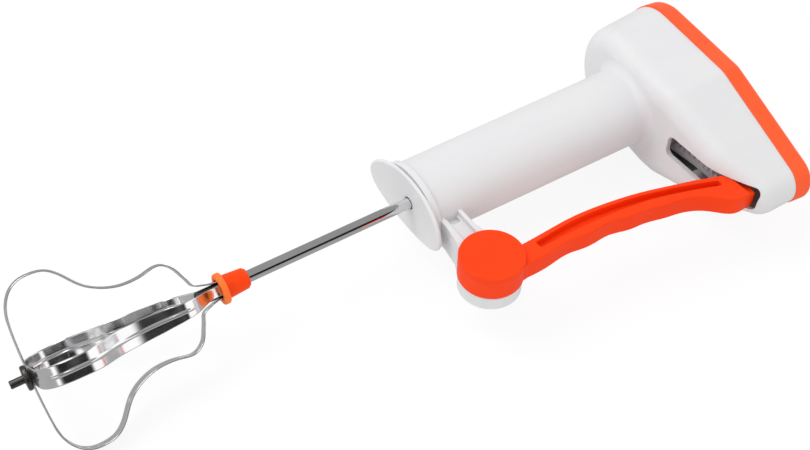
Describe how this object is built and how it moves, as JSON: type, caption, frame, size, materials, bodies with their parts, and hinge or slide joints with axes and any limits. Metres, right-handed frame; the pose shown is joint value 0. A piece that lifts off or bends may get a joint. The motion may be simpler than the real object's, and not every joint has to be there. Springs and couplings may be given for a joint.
{
  "type": "squeeze-lever hand whisk",
  "caption": "Hand-powered kitchen whisk: a squeeze lever beside the grip turns a crossed-loop spring-strip whisk through gears in the head.",
  "frame": {"origin": "centre of the end face of the pin at the whisk's tip, on the drive shaft's axis", "axes": "+X along the drive shaft from the whisk towards the gear head; +Z along the lever's pivot axis; the lever lies on the -Y side"},
  "size_m": [0.3561, 0.1348, 0.0576],
  "materials": {
    "white_plastic": "moulded polypropylene, satin to gloss",
    "orange_plastic": "moulded orange plastic, satin",
    "orange_lid": "moulded orange plastic, satin",
    "orange_sleeve": "moulded orange plastic, slightly translucent",
    "shaft_chrome": "bright plated steel rod",
    "strip_steel": "polished stainless spring strip",
    "dark_steel": "turned steel",
    "fastener_steel": "zinc-plated steel",
    "plate_alu": "stamped sheet",
    "acetal": "natural acetal",
    "gear_nylon": "grey nylon"
  },
  "bodies": {
    "housing": {"main_housing": "white_plastic", "guard_flange": "white_plastic", "head_lid": "orange_lid", "gear_plate": "plate_alu", "gear_plate_screws": "fastener_steel", "gear_axle": "fastener_steel", "upper_shaft_bush": "acetal", "lower_shaft_bush": "acetal", "pivot_pin": "fastener_steel", "pivot_clip": "fastener_steel", "pivot_washer": "acetal"},
    "lever_arm": {"lever": "orange_plastic", "hub_cap": "orange_plastic", "return_spring": "dark_steel", "sector_rack": "gear_nylon", "rack_rivets": "fastener_steel"},
    "compound": {"compound_gear": "gear_nylon"},
    "drive": {"drive_shaft": "shaft_chrome", "shaft_pinion": "gear_nylon", "shaft_clip": "fastener_steel", "thrust_washer": "acetal", "whisk_ferrule": "dark_steel", "whisk_loop_a": "strip_steel", "whisk_loop_b": "strip_steel", "whisk_end_washer": "dark_steel", "whisk_rivet": "dark_steel"},
    "sleeve": {"locking_collar": "orange_sleeve"}
  },
  "joints": [
    {"name": "lever_pivot", "type": "hinge", "parent": "housing", "child": "lever_arm", "pos_m": [0.19, -0.0506, 0], "axis": [0, 0, 1], "range_deg": [0, 14.5]},
    {"name": "compound_spin", "type": "hinge", "parent": "housing", "child": "compound", "pos_m": [0.314, -0.02394, 0.0017], "axis": [1, 0, 0], "range_deg": [-5, 305]},
    {"name": "shaft_spin", "type": "hinge", "parent": "housing", "child": "drive", "pos_m": [0.2, 0, 0], "axis": [1, 0, 0], "range_deg": [-910, 5]},
    {"name": "sleeve_slide", "type": "slide", "parent": "drive", "child": "sleeve", "axis": [1, 0, 0], "range_m": [0, 0.014]}
  ],
  "couplings": [
    {"joint": "compound_spin", "follows": "lever_pivot", "ratio": 20.7},
    {"joint": "shaft_spin", "follows": "lever_pivot", "ratio": -62.1}
  ]
}
